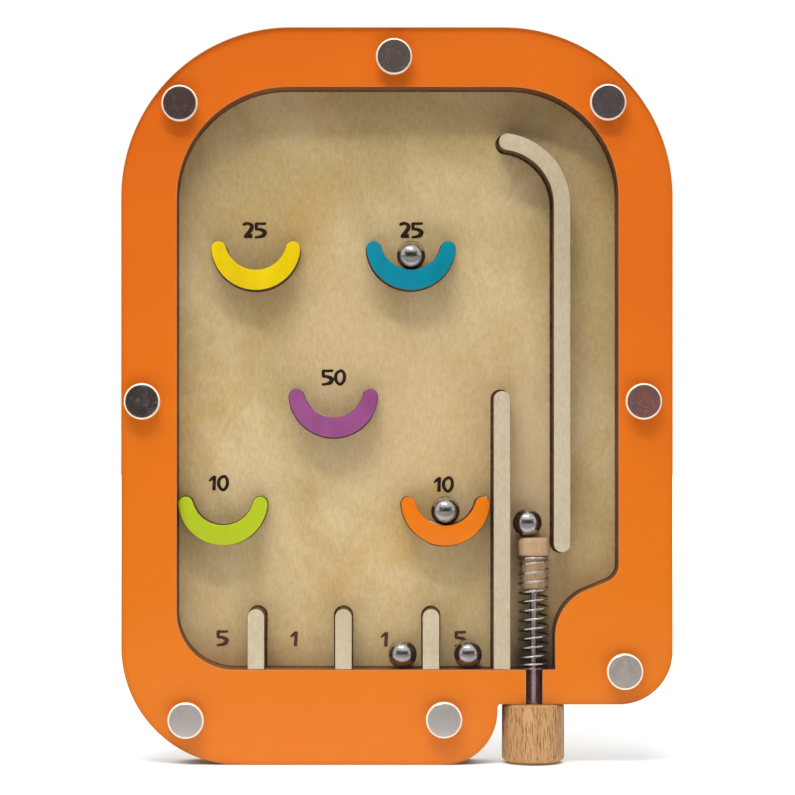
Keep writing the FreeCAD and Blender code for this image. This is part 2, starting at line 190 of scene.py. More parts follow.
def birch_figure():
    """Birch veneer: smudged clouds of three tones at different slants, amber tide marks with a
    thin line where they end, a few growth lines (where a noise field is cut into steps), faint
    fibres along the grain, and short pores."""
    tree, given, result = effect(
        "birch_figure", Pale=tone(210, 187, 141), Deep=tone(190, 165, 114),
        Warm=tone(196, 160, 97), Rose=tone(203, 175, 130), Lines=1.0)
    place = given["Position"]
    clouds = noise(tree, place, (24, 24, 14), 0.45, detail=5.0, roughness=0.6, distortion=0.5)
    colour = between(tree, spread(tree, clouds, 0.38, 0.64), given["Pale"], given["Deep"])
    smears = noise(tree, place, (15, 15, 8), -0.55, (0.21, 0, 0.4), detail=5.0, roughness=0.55)
    colour = between(tree, spread(tree, smears, 0.51, 0.60, 0.0, 0.75), colour, given["Warm"])
    tide = maths(tree, "ABSOLUTE", maths(tree, "SUBTRACT", smears, 0.52))
    tide = times(tree, spread(tree, tide, 0.014, 0.002), given["Lines"])
    colour = between(tree, times(tree, tide, 0.3), colour, given["Warm"])
    blush = noise(tree, place, (11, 11, 8), 0.5, (0.7, 0, 0.1), detail=3.0)
    colour = between(tree, spread(tree, blush, 0.50, 0.70, 0.0, 0.6), colour, given["Rose"])
    field = noise(tree, place, (13, 13, 6), 0.25, (0.31, 0, 0.07), detail=4.0,
                  roughness=0.5, distortion=0.3)
    steps = maths(tree, "FRACT", times(tree, field, 6.0))
    patchy = spread(tree, noise(tree, place, (40, 40, 20)), 0.45, 0.6)
    line = times(tree, maths(tree, "POWER", steps, 9.0), patchy)
    line = times(tree, line, times(tree, given["Lines"], 0.5))
    colour = between(tree, line, colour, given["Warm"])
    fibre = noise(tree, place, (1200, 1200, 430), detail=3.0, roughness=0.65)
    colour = between(tree, 0.13, colour, between(tree, spread(tree, fibre, 0.3, 0.7),
                     tone(130, 130, 126), tone(226, 224, 220)), "OVERLAY")
    flecks = noise(tree, place, (600, 600, 420), 0.12, (0.4, 0, 0.2), detail=4.0, roughness=0.75)
    colour = between(tree, 0.11, colour, between(tree, spread(tree, flecks, 0.32, 0.68),
                     tone(140, 138, 130), tone(222, 222, 218)), "OVERLAY")
    pores = spread(tree, noise(tree, place, (1100, 1100, 420), detail=1.0), 0.66, 0.74)
    colour = between(tree, times(tree, pores, 0.3), colour, given["Warm"])
    tree.links.new(colour, result["Color"])
    tree.links.new(maths(tree, "SUBTRACT", fibre, pores), result["Height"])
    return tree


def charred_edge():
    """A laser-cut plywood edge: thin layers in depth, darker at each glue line, fine scorch
    streaks across them, and soot that varies along the edge."""
    tree, given, result = effect("charred_edge", Brown=tone(126, 84, 50), Black=tone(44, 28, 20),
                                 Soot=0.6)
    place = given["Position"]
    layer = maths(tree, "FRACT", maths(tree, "DIVIDE", part(tree, place, 1), PLY))
    glue = spread(tree, maths(tree, "ABSOLUTE", maths(tree, "SUBTRACT", layer, 0.5)), 0.36, 0.5)
    streaks = noise(tree, place, (2600, 90, 2600))
    soot = noise(tree, place, (60, 260, 60), detail=3.0)
    dark = maths(tree, "ADD", times(tree, soot, 0.9), times(tree, streaks, 0.5))
    dark = maths(tree, "ADD", dark, times(tree, glue, 0.45))
    dark = maths(tree, "ADD", dark, maths(tree, "SUBTRACT", given["Soot"], 0.9), clamp=True)
    tree.links.new(between(tree, dark, given["Brown"], given["Black"]), result["Color"])
    tree.links.new(maths(tree, "SUBTRACT", streaks, glue), result["Height"])
    return tree


BIRCH = birch_figure()
CHAR = charred_edge()


def wood_and_char(name, veneer, char, roughness):
    """A laser-cut wooden piece: the veneer where the surface looks along the depth, and charred
    plies where it looks sideways."""
    made, tree, inputs = finish_named(name, roughness)
    place = place_in(tree)
    facing = front_and_back(tree, *FACING)[1]
    face = placed(tree, BIRCH, {"Position": place, **veneer})
    edge = placed(tree, CHAR, {"Position": place, **char})
    tree.links.new(between(tree, facing, edge["Color"], face["Color"]), inputs["Base Color"])
    height = maths(tree, "ADD", times(tree, face["Height"], facing), edge["Height"])
    bumped(tree, inputs, height, 0.02 * MM, 0.5)
    return made


def painted_shading_patch(made, centre, reach, colour, strength):
    """A patch of painted shading laid over a finish, painted shade where its colour is dark and
    painted light where it is pale: strongest at a centre, gone at a reach along each axis.
    """
    tree = made.node_tree
    place = place_in(tree)
    share = node(tree, "ShaderNodeMapping", {0: place, 1: centre, 3: reach},
                 vector_type="TEXTURE").outputs[0]
    away = node(tree, "ShaderNodeVectorMath", {0: share}, operation="LENGTH").outputs["Value"]
    shading = spread(tree, away, 1.0, 0.25, 0.0, strength)
    smudge = noise(tree, place, (300, 300, 160), detail=3.0)
    shading = times(tree, shading, spread(tree, smudge, 0.2, 0.6, 0.75, 1.0))
    laid_over(made, shading, colour)


# Each patch's centre and reach, across and up in mm, its colour and its strength. All four are
# painted light and shade on the veneer: painted shade low over the left bins, painted reddish shade
# and bounce from the orange rim in the upper left corner, painted light in the plunger lane, and
# painted shade in the channel behind the spring's foot.
SHADING_DEPTH = 3.5 * MM
PAINTED_SHADING = [
    ((-58.0, 20.0), (52.0, 32.0), tone(176, 128, 70), 0.60),
    ((-80.0, 238.0), (36.0, 46.0), tone(150, 92, 54), 0.28),
    ((46.8, 98.0), (14.0, 55.0), tone(240, 214, 172), 0.45),
    ((47.4, 33.0), (12.5, 30.0), tone(80, 71, 66), 0.88),
]
board_finish = wood_and_char("birch_board", {}, {"Soot": 0.55}, 0.62)
for (x, z), (wide, high), colour, strength in PAINTED_SHADING:
    painted_shading_patch(board_finish, (x * MM, BOARD_FACE, z * MM), (wide * MM, SHADING_DEPTH, high * MM),
                colour, strength)
dress("back_board", board_finish)


# ---- Score numbers ----
# Plain numbers burnt into the veneer by the laser, above each cup and in each lane. They are
# drawn as broad pen strokes, a hair's breadth proud of the face, with no thickness to feel.
NUMBER_HEIGHT = 5.4 * MM
STROKE_STEPS = 7
PEN = 1.3
DIGIT_GAP = 0.06
INK_LIFT = 0.04 * MM
INK_LAYER = 0.01 * MM
INK_SINK = 0.02 * MM
# Each digit's width and its strokes: points x and z and the nib's half width, as shares of the
# height; PEN broadens every nib. The places are each number's middle in mm.
NUMERALS = {
    "0": (0.70, [[(0.38, 0.93, 0.075), (0.14, 0.74, 0.080), (0.08, 0.42, 0.090),
                  (0.22, 0.13, 0.075), (0.42, 0.06, 0.075), (0.62, 0.32, 0.085),
                  (0.64, 0.66, 0.080), (0.52, 0.88, 0.075), (0.34, 0.93, 0.070)]]),
    "1": (0.50, [[(0.02, 0.60, 0.035), (0.20, 0.76, 0.075), (0.42, 0.93, 0.070)],
                 [(0.38, 0.95, 0.090), (0.36, 0.50, 0.085), (0.34, 0.02, 0.090)]]),
    "2": (0.72, [[(0.01, 0.83, 0.050), (0.16, 0.89, 0.085), (0.38, 0.93, 0.075),
                  (0.60, 0.78, 0.100), (0.54, 0.52, 0.105), (0.18, 0.07, 0.095)],
                 [(0.10, 0.06, 0.060), (0.38, 0.10, 0.095), (0.64, 0.13, 0.115)]]),
    "5": (0.76, [[(0.06, 0.93, 0.060), (0.40, 0.91, 0.070), (0.75, 0.93, 0.065)],
                 [(0.12, 0.96, 0.085), (0.11, 0.74, 0.085), (0.12, 0.52, 0.075)],
                 [(0.06, 0.55, 0.060), (0.38, 0.54, 0.080), (0.65, 0.38, 0.110),
                  (0.56, 0.16, 0.100), (0.30, 0.07, 0.070), (0.02, 0.03, 0.055)]]),
}
UPPER_NUMBERS = [("25", -49.54, 184.95), ("25", 4.91, 184.92), ("50", -22.17, 133.79),
                 ("10", -61.96, 96.90), ("10", 16.22, 96.62)]
LOWER_NUMBERS = [("5", -60.59, 42.87), ("1", -35.74, 42.73), ("1", -4.46, 42.66),
                 ("5", 21.79, 42.77)]


def ring_quads(rings, around):
    """Four-sided faces between closed rings of points that follow each other, facing outwards."""
    row = np.arange(rings - 1)[:, None] * around
    this = np.arange(around)[None, :]
    other = (this + 1) % around
    corners = np.broadcast_arrays(row + this, row + other, row + around + other,
                                  row + around + this)
    return np.stack(corners, axis=-1).reshape(-1, 4).tolist()


def capped_rings(rings):
    """A closed solid from an array of rings of points: sides, and a flat face at each end."""
    count, around = rings.shape[:2]
    ends = [list(range(around))[::-1], list(range((count - 1) * around, count * around))]
    return rings.reshape(-1, 3), ring_quads(count, around) + ends


def joined(solids):
    """Several meshes as one: their points in a row, and their faces' numbers moved along."""
    points = []
    faces = []
    start = 0
    for solid_points, solid_faces in solids:
        points.append(solid_points)
        faces += [[corner + start for corner in face] for face in solid_faces]
        start += len(solid_points)
    return np.concatenate(points), faces


def in_scene(name, data):
    """A new object that shows a mesh, a lamp or a lens in the scene."""
    made = bpy.data.objects.new(name, data)
    bpy.context.scene.collection.objects.link(made)
    return made


def piece(name, solid, finish, body, stands_for=(), crease=32.0):
    """A mesh object at the origin that rides on a body, smooth except over a crease angle."""
    points, faces = solid
    mesh = bpy.data.meshes.new(name)
    mesh.from_pydata(points.tolist(), [], faces)
    mesh.shade_smooth()
    mesh.set_sharp_from_angle(angle=np.radians(crease))
    mesh.materials.append(finish)
    made = in_scene(name, mesh)
    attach(made, body)
    if stands_for:
        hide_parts(*stands_for)
    return made


def pen_stroke(controls, origin, lift):
    """A flat nib carried along a smooth line: each span between two control points is a cubic
    whose slopes come from the neighbouring points, and the nib's width changes along it."""
    knots = np.array(controls, float)
    knots = np.vstack([2 * knots[0] - knots[1], knots, 2 * knots[-1] - knots[-2]])
    share = np.linspace(0, 1, STROKE_STEPS, endpoint=False)[None, :, None]
    before, start, end, after = (knots[k:len(knots) - 3 + k, None, :] for k in range(4))
    line = (start + share * (end - before) / 2
            + share ** 2 * (before - 2.5 * start + 2 * end - after / 2)
            + share ** 3 * (1.5 * (start - end) + (after - before) / 2)).reshape(-1, 3)
    line = np.vstack([line, knots[-2]])
    way = np.gradient(line[:, :2], axis=0)
    way /= np.linalg.norm(way, axis=1)[:, None]
    side = np.stack([way[:, 1], -way[:, 0]], axis=1) * line[:, 2:] * PEN
    left = (line[:, :2] - side) * NUMBER_HEIGHT + origin
    right = (line[:, :2] + side) * NUMBER_HEIGHT + origin
    front = np.full(len(line), BOARD_FACE - lift)
    back = np.full(len(line), BOARD_FACE + INK_SINK)
    section = [(left[:, 0], back, left[:, 1]), (left[:, 0], front, left[:, 1]),
               (right[:, 0], front, right[:, 1]), (right[:, 0], back, right[:, 1])]
    return capped_rings(np.stack([np.stack(corner, axis=1) for corner in section], axis=1))


def burnt_numbers(places):
    """Every stroke of the numbers at their places; strokes that cross lie a hair apart."""
    strokes = []
    for text, x, z in places:
        width = sum(NUMERALS[digit][0] for digit in text) + DIGIT_GAP * (len(text) - 1)
        across = -width / 2
        for digit in text:
            origin = np.array([x * MM + across * NUMBER_HEIGHT, z * MM - NUMBER_HEIGHT / 2])
            for layer, controls in enumerate(NUMERALS[digit][1]):
                strokes.append(pen_stroke(controls, origin, INK_LIFT + INK_LAYER * layer))
            across += NUMERALS[digit][0] + DIGIT_GAP
    return joined(strokes)


def burn_and_shade_mark(name, dark, light):
    """Scorched veneer, mottled where the laser dwelt. The same finish also serves as painted shade
    in the kerfs and along the window.
    """
    made, tree, inputs = finish_named(name, 0.8)
    mottle = spread(tree, noise(tree, place_in(tree), (1400, 1400, 1400)), 0.4, 0.7)
    tree.links.new(between(tree, mottle, dark, light), inputs["Base Color"])
    return made


piece("upper_numbers", burnt_numbers(UPPER_NUMBERS),
      burn_and_shade_mark("burnt_deep", tone(32, 19, 11), tone(52, 32, 19)), "case")
piece("lower_numbers", burnt_numbers(LOWER_NUMBERS),
      burn_and_shade_mark("burnt_light", tone(74, 47, 33), tone(98, 66, 45)), "case")


# ---- Rim ----
# A 12 mm birch plywood frame, cut by laser and lacquered orange on its front before it was cut,
# so that the lacquer ends at a charred edge. It is clamped between the board and the cover.
WINDOW = [(-75.8, 32.8, 19.8), (54.5, 32.8, 0), (54.5, 55.9, 17.0), (76.3, 64.75, 6.1),
          (76.3, 233.5, 37.6), (-75.8, 233.5, 38.3)]
BROAD_RADIUS = 5 * MM
BROAD_STEP = 2.0
SMALL_STEP = 15.0
KERF_LIFT = 0.03 * MM
KERF_SINK = 0.02 * MM
# Width and shift in mm of the painted contact shadow along the window's edge on the board.
WINDOW_SHADE_WIDTH = -0.45
WINDOW_SHADE_SHIFT = (-0.2, -0.05)


def bend(x, z, radius, start, end, step):
    """Points of an arc from one direction to another in degrees, its end left off, with the way
    outwards at each: away from the centre on an arc that runs left, towards it on one that runs
    right. Each row is x, z, outward x, outward z."""
    count = max(2, int(abs(end - start) / step))
    angle = np.radians(np.linspace(start, end, count, endpoint=False))
    way = np.stack([np.cos(angle), np.sin(angle)], axis=1)
    spot = np.array([x, z]) + radius * way
    return np.hstack([spot, way * np.sign(end - start)])


def rounded_outline(corners):
    """A closed outline run round to the left through corners in mm, each rounded by an arc that
    is tangent to both its sides: its centre lies its radius inside them, and it turns by the angle
    between them. A corner that turns right is hollow, and one with no radius is square."""
    spots = np.array([corner[:2] for corner in corners]) * MM
    rows = []
    for index, spot in enumerate(spots):
        radius = corners[index][2] * MM
        arrive = spot - spots[index - 1]
        leave = spots[(index + 1) % len(spots)] - spot
        arrive /= np.linalg.norm(arrive)
        leave /= np.linalg.norm(leave)
        if radius == 0:
            rows.append([(*spot, arrive[1] + leave[1], -arrive[0] - leave[0])])
            continue
        side = np.sign(arrive[0] * leave[1] - arrive[1] * leave[0])
        half = np.arccos(np.clip(arrive @ leave, -1, 1)) / 2
        begin = spot - arrive * radius * np.tan(half)
        centre = begin + np.array([-arrive[1], arrive[0]]) * side * radius
        start = np.degrees(np.arctan2(*(begin - centre)[::-1]))
        turn = np.degrees(half) * 2 * side
        step = BROAD_STEP if radius > BROAD_RADIUS else SMALL_STEP
        rows.append(bend(*centre, radius, start, start + turn, step))
        end = spot + leave * radius * np.tan(half)
        rows.append([(*end, leave[1], -leave[0])])
    return np.vstack(rows)


def kerf_shadow_ribbon(outline, width, shift):
    """A flat dark ribbon on the board's face round a piece, from the outline outwards by its width
    in mm, or inwards where that is negative. It is painted shade for the shadowed gap and the
    contact shadow at the piece's foot, and round a cut slot also the real scorch of the laser. The
    ribbon is shifted against the piece by some mm across and up, so it is wider where the outline
    faces that way, and narrower on the other side."""
    way = outline[:, 2:] / np.linalg.norm(outline[:, 2:], axis=1)[:, None]
    wide = (width + way @ np.array(shift)) * MM
    wide = np.where(np.sign(wide) == np.sign(width), wide, 0)
    span = np.stack([np.minimum(wide, 0), np.maximum(wide, 0)], axis=1)[:, [0, 1, 1, 0]]
    flat = outline[:, None, :2] + outline[:, None, 2:] * span[:, :, None]
    depth = BOARD_FACE + np.array([-KERF_LIFT, -KERF_LIFT, KERF_SINK, KERF_SINK])
    depths = np.broadcast_to(depth, flat.shape[:2])
    rings = np.stack([flat[..., 0], depths, flat[..., 1]], axis=-1)
    faces = np.array(ring_quads(len(rings) + 1, 4)) % (len(rings) * 4)
    return rings.reshape(-1, 3), faces.tolist()


def lacquered_rim():
    """Lacquer on the front face, yellower towards the foot as painted light from the floor, paler
    along its edge as worn lacquer and a painted highlight where the edge catches light, with a few
    specks of dust, and charred plies on the outer edge and the window's walls."""
    made, tree, inputs = finish_named("painted_rim", 0.42, gloss=0.2)
    place = place_in(tree)
    facing = front_and_back(tree, *FACING)[1]
    clouds = noise(tree, place, (14, 14, 10), detail=3.0)
    colour = between(tree, spread(tree, clouds, 0.3, 0.7), tone(224, 106, 20),
                     tone(230, 113, 24))
    # Painted light: the lacquer turns yellower towards the foot, standing for light thrown up from
    # the floor.
    foot = spread(tree, part(tree, place, 2), 0.19, 0.01)
    colour = between(tree, foot, colour, tone(217, 115, 8))
    grain = noise(tree, place, (1200, 1200, 160))
    colour = between(tree, times(tree, spread(tree, grain, 0.5, 0.8), 0.10), colour,
                     tone(214, 96, 26))
    specks = node(tree, "ShaderNodeTexVoronoi", {"Vector": place, "Scale": 160.0})
    chance = part(tree, specks.outputs["Color"], 0)
    speck = maths(tree, "LESS_THAN", specks.outputs["Distance"], 0.045)
    speck = times(tree, speck, maths(tree, "GREATER_THAN", chance, 0.93))
    colour = between(tree, times(tree, speck, 0.6), colour, tone(250, 190, 130))
    # The edge band is partly worn lacquer and partly a painted highlight where the edge catches
    # light.
    rounded = node(tree, "ShaderNodeBevel", {"Radius": 0.9 * MM}, samples=8).outputs[0]
    true_way = node(tree, "ShaderNodeNewGeometry").outputs["Normal"]
    flat = node(tree, "ShaderNodeVectorMath", {0: rounded, 1: true_way},
                operation="DOT_PRODUCT").outputs["Value"]
    colour = between(tree, spread(tree, flat, 0.995, 0.80), colour, tone(186, 134, 92))
    edge = placed(tree, CHAR, {"Position": place, "Brown": tone(158, 98, 52),
                               "Black": tone(66, 38, 23), "Soot": 0.55})
    tree.links.new(between(tree, facing, edge["Color"], colour), inputs["Base Color"])
    tree.links.new(spread(tree, facing, 0, 1, 0.75, 0.38), inputs["Roughness"])
    height = maths(tree, "ADD", times(tree, grain, 0.4), edge["Height"])
    bumped(tree, inputs, height, 0.015 * MM, 0.4)
    return made


dress("rim_frame", lacquered_rim())
# A dark ribbon on the board round the window: painted contact shadow where the rim's walls meet the
# board.
piece("window_contact_shadow", kerf_shadow_ribbon(rounded_outline(WINDOW), WINDOW_SHADE_WIDTH, WINDOW_SHADE_SHIFT),
      burn_and_shade_mark("window_shadow_line", tone(96, 64, 44), tone(128, 88, 60)), "case")


# ---- Smile cups ----
# Five crescents of lacquered plywood, each pressed through its slot in the board, flush at the
# back. The lacquer covers the face only; the cut sides stay charred, and the corner is broken.
CUP_FRONT = -2.8 * MM
CUP_EDGE = 0.4 * MM
CUP_OUTER = 15.5 * MM
CUP_INNER = 10.7 * MM
CUP_RISE = 2.3 * MM
CUP_TIP = 2.6 * MM
CUP_KERF_SHADE = 0.2
CUP_SHIFT = (-0.16, -0.14)
CUP_FACING = (0.45, 0.75)
CORNER_STEPS = 5
ARC_STEP = 3.0
TIP_STEP = 8.0
CUPS = {
    "yellow": (-48.725, 179.2, tone(236, 206, 6), tone(226, 192, 4)),
    "teal": (4.875, 179.2, tone(0, 138, 160), tone(0, 126, 149)),
    "purple": (-21.925, 128.2, tone(154, 82, 138), tone(142, 72, 127)),
    "green": (-60.05, 90.9, tone(178, 196, 34), tone(167, 186, 26)),
    "orange": (16.8, 90.9, tone(230, 121, 8), tone(222, 111, 6)),
}


def broken_corner_block(outline, front, back, edge):
    """A flat piece whose front corner is rounded: the outline is carried along a quarter circle,
    moving inwards by edge (1 - cos a) while it comes forward by edge sin a."""
    angle = np.linspace(0, np.pi / 2, CORNER_STEPS)
    inset = np.concatenate([[0], edge * (1 - np.cos(angle))])
    depth = np.concatenate([[back], front + edge * (1 - np.sin(angle))])
    flat = outline[None, :, :2] - inset[:, None, None] * outline[None, :, 2:]
    depths = np.broadcast_to(depth[:, None], flat.shape[:2])
    return capped_rings(np.stack([flat[..., 0], depths, flat[..., 1]], axis=-1))


def cup_outline(x, z):
    """A smile, run round to the left: the outer arc, a tip arc, the inner arc and a tip arc. A
    tip's centre is where a circle about the outer centre, smaller by the tip's radius, meets one
    about the inner centre, larger by the tip's radius."""
    outer = CUP_OUTER - CUP_TIP
    inner = CUP_INNER + CUP_TIP
    tip_z = (outer ** 2 - inner ** 2 + CUP_RISE ** 2) / (2 * CUP_RISE)
    tip_x = np.sqrt(outer ** 2 - tip_z ** 2)
    wide = np.degrees(np.arctan2(tip_z, tip_x))
    narrow = np.degrees(np.arctan2(tip_z - CUP_RISE, tip_x))
    return np.vstack([
        bend(x, z, CUP_OUTER, 180 - wide, 360 + wide, ARC_STEP),
        bend(x + tip_x, z + tip_z, CUP_TIP, wide, 180 + narrow, TIP_STEP),
        bend(x, z + CUP_RISE, CUP_INNER, narrow, -180 - narrow, ARC_STEP),
        bend(x - tip_x, z + tip_z, CUP_TIP, -narrow, 180 - wide, TIP_STEP),
    ])


def cup_lacquer(colour_name, main, deep):
    """Thick satin lacquer with a faint brushed unevenness, charred sides and a bare back."""
    made, tree, inputs = finish_named(colour_name + "_paint", 0.35, gloss=0.2)
    place = place_in(tree)
    way, facing = front_and_back(tree, *CUP_FACING)
    mottle = noise(tree, place, (120, 120, 60), detail=4.0, roughness=0.6)
    colour = between(tree, spread(tree, mottle, 0.35, 0.75), main, deep)
    bare = placed(tree, BIRCH, {"Position": place})["Color"]
    colour = between(tree, spread(tree, way, *CUP_FACING), colour, bare)
    edge = placed(tree, CHAR, {"Position": place, "Soot": 0.95})
    tree.links.new(between(tree, facing, edge["Color"], colour), inputs["Base Color"])
    fine = noise(tree, place, (900, 900, 900))
    tree.links.new(spread(tree, fine, 0.2, 0.8, 0.30, 0.44), inputs["Roughness"])
    bumped(tree, inputs, fine, 0.01 * MM, 0.35)
    return made


# The kerf finish is painted shade for the shadowed slot gaps and contact shadows round the cups and
# strips, together with the real scorch of the cut.
kerf_shade_finish = burn_and_shade_mark("kerf_scorch_and_shade", tone(62, 34, 14), tone(104, 72, 44))
kerf_shadows = []
for colour_name, (x, z, main, deep) in CUPS.items():
    outline = cup_outline(x * MM, z * MM)
    kerf_shadows.append(kerf_shadow_ribbon(outline, CUP_KERF_SHADE, CUP_SHIFT))
    block = broken_corner_block(outline, CUP_FRONT, BOARD_BACK, CUP_EDGE)
    finish = cup_lacquer(colour_name, main, deep)
    piece("smile_cup_" + colour_name, block, finish, "case",
          ["cup_" + colour_name])
piece("cup_kerf_shadows", joined(kerf_shadows), kerf_shade_finish, "case")


# ---- Lane dividers, launch wall and hooked guide ----
# Strips of raw birch plywood that stand in slots of the board and almost reach the cover. The
# laser chars their sides; their faces stay pale and show short brown pores.
STRIP_FRONT = -5.75 * MM
STRIP_EDGE = 0.25 * MM
STRIP_HALF = 2.9 * MM
FLOOR = 32.8 * MM
END_STEP = 7.5
# Each upright's middle and top, and the width and shift of the painted shade in its kerf, in mm.
UPRIGHTS = {
    "lane_divider_1": (-48.57, 53.7, 0.43, (0.43, 0.20)),
    "lane_divider_2": (-18.43, 53.7, 0.50, (-0.18, 0.15)),
    "lane_divider_3": (11.7, 53.7, 0.45, (-0.15, 0.20)),
    "launch_wall": (36.2, 128.8, 0.45, (-0.40, 0.10)),
}
GUIDE_X = 56.9 * MM
GUIDE_FOOT = 76.1 * MM
GUIDE_BEND = 193.0 * MM
GUIDE_RADIUS = 21.9 * MM
GUIDE_ANGLE = 82.0
GUIDE_KERF_SHADE = (0.55, (-0.42, 0.00))

strip_finish = wood_and_char(
    "strip_birch",
    {"Pale": tone(198, 184, 157), "Deep": tone(188, 172, 144), "Warm": tone(184, 163, 129),
     "Rose": tone(194, 179, 156), "Lines": 0.4},
    {"Soot": 0.62}, 0.58)


def upright_outline(x, top):
    """A straight strip with a square foot and a half-round top."""
    left, right, crown = x - STRIP_HALF, x + STRIP_HALF, top - STRIP_HALF
    return np.vstack([[(left, FLOOR, -1, -1), (right, FLOOR, 1, -1)],
                      bend(x, crown, STRIP_HALF, 0, 180, END_STEP), [(left, crown, -1, 0)]])


def guide_outline():
    """A strip with two round ends that runs straight up and then bends to the left."""
    turn = np.radians(GUIDE_ANGLE)
    centre_x = GUIDE_X - GUIDE_RADIUS
    tip_x = centre_x + GUIDE_RADIUS * np.cos(turn)
    tip_z = GUIDE_BEND + GUIDE_RADIUS * np.sin(turn)
    return np.vstack([
        bend(GUIDE_X, GUIDE_FOOT, STRIP_HALF, -180, 0, END_STEP),
        [(GUIDE_X + STRIP_HALF, GUIDE_FOOT, 1, 0)],
        bend(centre_x, GUIDE_BEND, GUIDE_RADIUS + STRIP_HALF, 0, GUIDE_ANGLE, ARC_STEP),
        bend(tip_x, tip_z, STRIP_HALF, GUIDE_ANGLE, GUIDE_ANGLE + 180, END_STEP),
        bend(centre_x, GUIDE_BEND, GUIDE_RADIUS - STRIP_HALF, GUIDE_ANGLE, 0, ARC_STEP),
        [(GUIDE_X - STRIP_HALF, GUIDE_BEND, -1, 0)],
    ])


strips = {name: (upright_outline(x * MM, top * MM), width, shift)
          for name, (x, top, width, shift) in UPRIGHTS.items()}
strips["hook_guide"] = (guide_outline(), *GUIDE_KERF_SHADE)
kerf_shadows = []
for name, (outline, width, shift) in strips.items():
    block = broken_corner_block(outline, STRIP_FRONT, BOARD_BACK, STRIP_EDGE)
    piece("birch_" + name, block, strip_finish, "case", [name])
    kerf_shadows.append(kerf_shadow_ribbon(outline, width, shift))
piece("strip_kerf_shadows", joined(kerf_shadows), kerf_shade_finish, "case")


# ---- Guide bush and plunger rod ----
# A turned steel bush lies in the rail's groove, its thin flange under the spring. The bright
# drawn rod slides in it and joins the knob to the tip.
PLUNGER_X = 47.3 * MM
BUSH = [(1.35, 21.1), (1.45, 21.0), (2.45, 21.0), (2.55, 21.1), (2.55, 32.8), (4.7, 32.8),
        (4.8, 32.9), (4.8, 33.1), (4.7, 33.2), (1.45, 33.2), (1.35, 33.1)]
ROD = [(0, 8.7), (1.3, 8.7), (1.3, 75.0), (0, 75.0)]
QUARTER_TURN = 0.25


def turned(profile, x, z, around, forward=False):
    """A surface of revolution. The point at angle a of a profile point is radius (cos a, sin a)
    across the axis and height along it. A profile that starts and ends on the axis is closed by
    a point at each end, and any other profile closes on itself. The axis points up, or to the
    front."""
    radius, height = np.array(profile, float).T * MM
    poles = radius[0] == 0
    angle = np.linspace(0, 2 * np.pi, around, endpoint=False)
    inner = slice(1, -1) if poles else slice(None)
    across = radius[inner, None] * np.cos(angle)
    along = radius[inner, None] * np.sin(angle)
    level = np.broadcast_to(height[inner, None], across.shape)
    rings = np.stack([across, along, level], axis=-1)
    count = len(rings)
    faces = ring_quads(count, around)
    points = rings.reshape(-1, 3)
    this = np.arange(around)
    other = (this + 1) % around
    last = (count - 1) * around
    if poles:
        points = np.vstack([points, [(0, 0, height[0]), (0, 0, height[-1])]])
        low, high = len(points) - 2, len(points) - 1
        faces += np.stack([np.full(around, low), other, this], axis=1).tolist()
        faces += np.stack([np.full(around, high), last + this, last + other], axis=1).tolist()
    else:
        faces += np.stack([last + this, last + other, other, this], axis=1).tolist()
    if forward:
        points = points[:, [0, 2, 1]] * [1, -1, 1]
    return points + np.array([x, 0, z]), faces


def drawn_steel(name, colour, deep, roughness, direction=(900, 900, 60), turned_marks=0.0):
    """Bright steel with fine marks stretched along one direction and a little dull handling.
    Marks that run round the axis draw every light out into a bright line along it."""
    made, tree, inputs = finish_named(name, roughness, 1.0, 0.5)
    inputs["Anisotropic"].default_value = turned_marks
    inputs["Anisotropic Rotation"].default_value = QUARTER_TURN
    place = place_in(tree)
    marks = noise(tree, place, direction, detail=3.0)
    clouds = spread(tree, noise(tree, place, (160, 160, 160), detail=3.0), 0.3, 0.7)
    tree.links.new(between(tree, clouds, colour, deep), inputs["Base Color"])
    rough = spread(tree, marks, 0.25, 0.75, roughness * 0.7, roughness * 1.4)
    tree.links.new(rough, inputs["Roughness"])
    bumped(tree, inputs, marks, 0.004 * MM, 0.5)
    return made


piece("turned_bush", turned(BUSH, PLUNGER_X, 0, around=48),
      drawn_steel("bush_steel", tone(222, 208, 224), tone(200, 186, 204), 0.28, turned_marks=0.9),
      "case", ["guide_bush"])
piece("drawn_rod", turned(ROD, PLUNGER_X, 0, around=40),
      drawn_steel("rod_steel", tone(214, 213, 213), tone(190, 188, 188), 0.28, turned_marks=0.9),
      "plunger", ["plunger_rod"])


# ---- Spring ----
# A compression spring wound from 0.75 mm steel wire, with eleven open turns between two closed
# ones. It stands on the bush's flange and carries the head of the tip.
SPRING_WIRE = 0.75 * MM
SPRING_RADIUS = 4.975 * MM
SPRING_BOTTOM = 33.25 * MM
SPRING_LENGTH = 38.7 * MM
SPRING_TURNS = 13
SPRING_END_PITCH = 1.3 * MM
EASE_FROM = 0.75
EASE_TURNS = 0.5
SPRING_STEPS = 44
WIRE_SIDES = 12
BACK_SHADE_FROM = -2.8 * MM
BACK_SHADE_TO = 0.8 * MM


